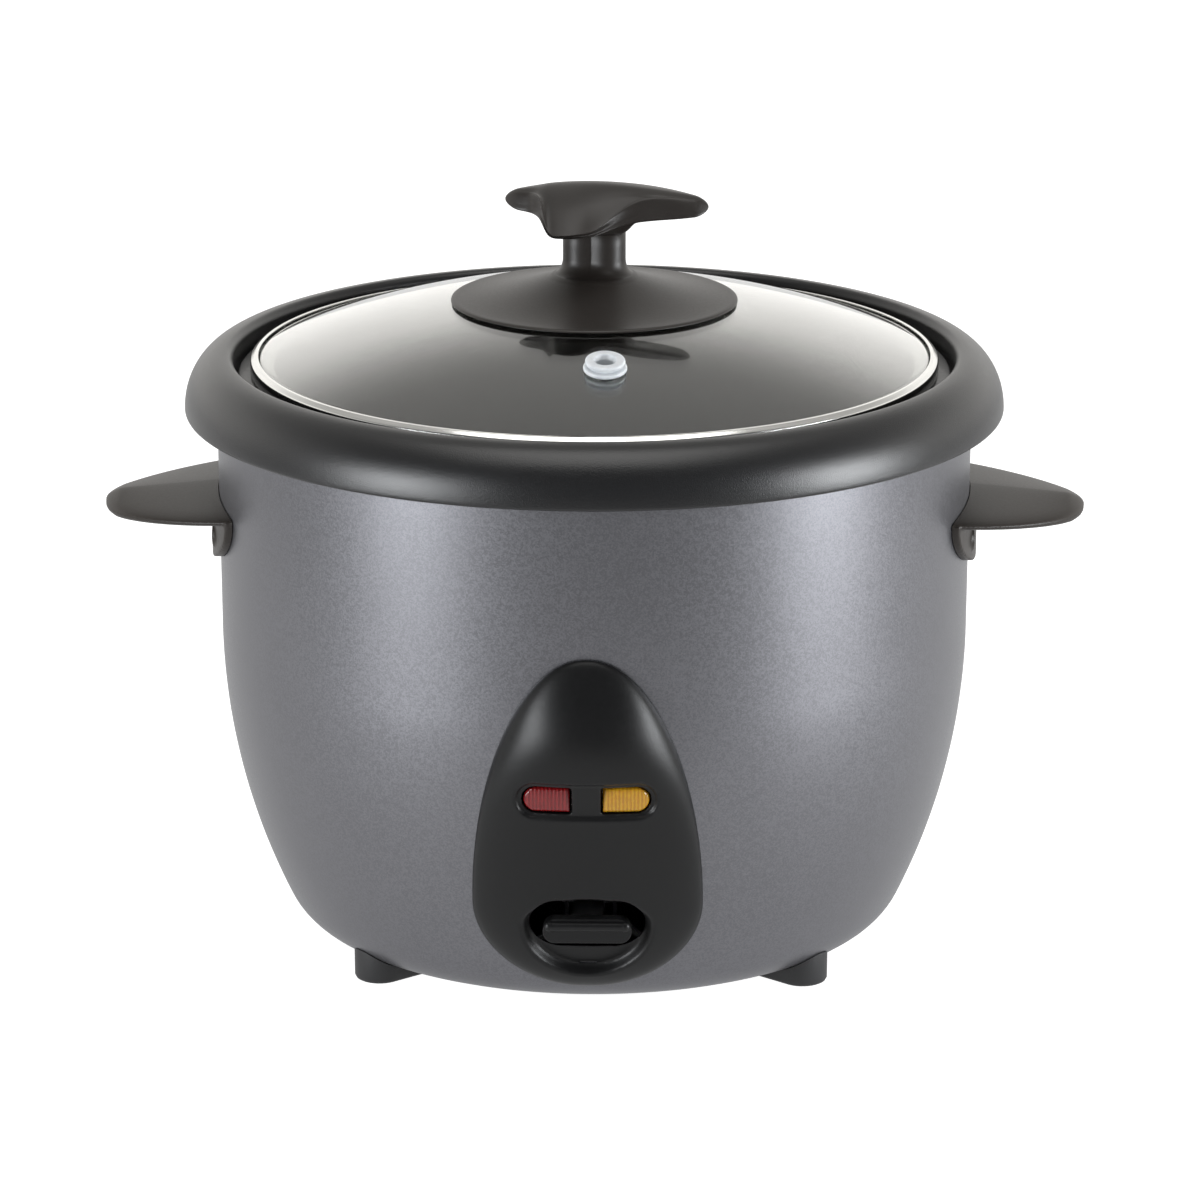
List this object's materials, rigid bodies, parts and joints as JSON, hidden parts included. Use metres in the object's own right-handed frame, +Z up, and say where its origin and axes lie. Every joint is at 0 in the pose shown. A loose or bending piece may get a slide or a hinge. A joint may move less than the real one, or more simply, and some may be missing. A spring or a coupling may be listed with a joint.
{
  "type": "rice cooker",
  "caption": "Drum rice cooker with grey metallic body, black rim, side handles, lamp panel with cook lever, lift-out pot and domed glass lid with steam vent and wing knob.",
  "frame": {"origin": "on the drum's axis at the level of the feet", "axes": "+Z up along the drum's axis, -Y towards the control panel, X through the two handles"},
  "size_m": [0.3144, 0.2612, 0.246],
  "materials": {
    "shell_paint": "metallic blue-grey paint, satin",
    "rim_plastic": "satin black, fine texture",
    "panel_plastic": "satin black, smooth",
    "handle_plastic": "satin dark grey-brown",
    "knob_plastic": "satin charcoal, slightly warm",
    "foot_plastic": "matte black",
    "inlet_plastic": "matte black",
    "white_plastic": "plain",
    "red_lens": "clear red, fluted",
    "amber_lens": "clear amber, fluted",
    "lamp_glass": "clear",
    "lid_glass": "polished, slightly smoky",
    "bright_steel": "polished",
    "bare_steel": "rolled, unpainted",
    "spring_steel": "drawn and plated",
    "cast_aluminium": "turned casting",
    "pot_coating": "dark non-stick coating",
    "silicone": "translucent white",
    "ferrite": "sintered",
    "inner_ceramic": "unglazed",
    "mica_band": "layered",
    "brass_parts": "plain",
    "live_sleeve": "insulation",
    "neutral_sleeve": "insulation"
  },
  "bodies": {
    "housing": {"base_plate": "bare_steel", "control_panel": "panel_plastic", "cook_lamp": "lamp_glass", "cook_lamp_lens": "red_lens", "element_terminal_left": "brass_parts", "element_terminal_right": "brass_parts", "foot_front_left": "foot_plastic", "foot_front_right": "foot_plastic", "foot_rear_left": "foot_plastic", "foot_rear_right": "foot_plastic", "foot_screw_front_left": "bare_steel", "foot_screw_front_right": "bare_steel", "foot_screw_rear_left": "bare_steel", "foot_screw_rear_right": "bare_steel", "handle_left": "handle_plastic", "handle_right": "handle_plastic", "handle_screw_left_front": "bare_steel", "handle_screw_left_rear": "bare_steel", "handle_screw_right_front": "bare_steel", "handle_screw_right_rear": "bare_steel", "heating_plate": "cast_aluminium", "inlet_housing": "inlet_plastic", "inlet_pin_1": "brass_parts", "inlet_pin_2": "brass_parts", "inlet_pin_3": "brass_parts", "inner_liner": "bare_steel", "keep_warm_heater": "mica_band", "lamp_holder": "inner_ceramic", "microswitch": "inlet_plastic", "outer_shell": "shell_paint", "pivot_pin": "spring_steel", "plate_bolt_1": "bare_steel", "plate_bolt_2": "bare_steel", "plate_bolt_3": "bare_steel", "rim_ring": "rim_plastic", "sensor_can": "bare_steel", "supply_lead_live": "live_sleeve", "supply_lead_neutral": "neutral_sleeve", "switch_bracket": "bare_steel", "terminal_block": "inner_ceramic", "thermal_ferrite": "ferrite", "thermal_fuse": "spring_steel", "warm_lamp": "lamp_glass", "warm_lamp_lens": "amber_lens"},
    "pot": {"inner_pot": "pot_coating"},
    "lid": {"lid_glass": "lid_glass", "lid_band": "bright_steel", "vent_grommet": "silicone", "knob_base": "knob_plastic", "lid_knob": "knob_plastic", "knob_washer": "silicone", "knob_screw": "bare_steel"},
    "cook_lever": {"lever_arm": "bare_steel", "cook_lever": "panel_plastic"},
    "magnet": {"magnet": "ferrite", "magnet_rod": "spring_steel", "magnet_spring": "spring_steel"},
    "switch_plunger": {"switch_plunger": "white_plastic"},
    "sensor_cap": {"sensor_cap": "cast_aluminium", "sensor_spring": "spring_steel"}
  },
  "joints": [
    {"name": "pot_lift", "type": "slide", "parent": "housing", "child": "pot", "axis": [0, 0, 1], "range_m": [0, 0.15]},
    {"name": "lid_lift", "type": "slide", "parent": "pot", "child": "lid", "axis": [0, 0, 1], "range_m": [0, 0.12]},
    {"name": "cook_lever_press", "type": "hinge", "parent": "housing", "child": "cook_lever", "pos_m": [0, -0.05, 0.024], "axis": [1, 0, 0], "range_deg": [0, 4.5], "stiffness_Nm_per_rad": 0.6, "springref_deg": -5.73},
    {"name": "magnet_rise", "type": "slide", "parent": "housing", "child": "magnet", "axis": [0, 0, 1], "range_m": [0, 0.00395], "deforming": ["magnet_spring"]},
    {"name": "switch_plunger_rise", "type": "slide", "parent": "housing", "child": "switch_plunger", "axis": [0, 0, 1], "range_m": [0, 0.00145]},
    {"name": "sensor_cap_press", "type": "slide", "parent": "housing", "child": "sensor_cap", "axis": [0, 0, 1], "range_m": [-0.003, 0], "stiffness_N_per_m": 300, "springref_m": 0.004, "deforming": ["sensor_spring"]}
  ],
  "couplings": [
    {"joint": "magnet_rise", "follows": "cook_lever_press", "m_per_rad": 0.05},
    {"joint": "switch_plunger_rise", "follows": "cook_lever_press", "m_per_rad": 0.018}
  ]
}
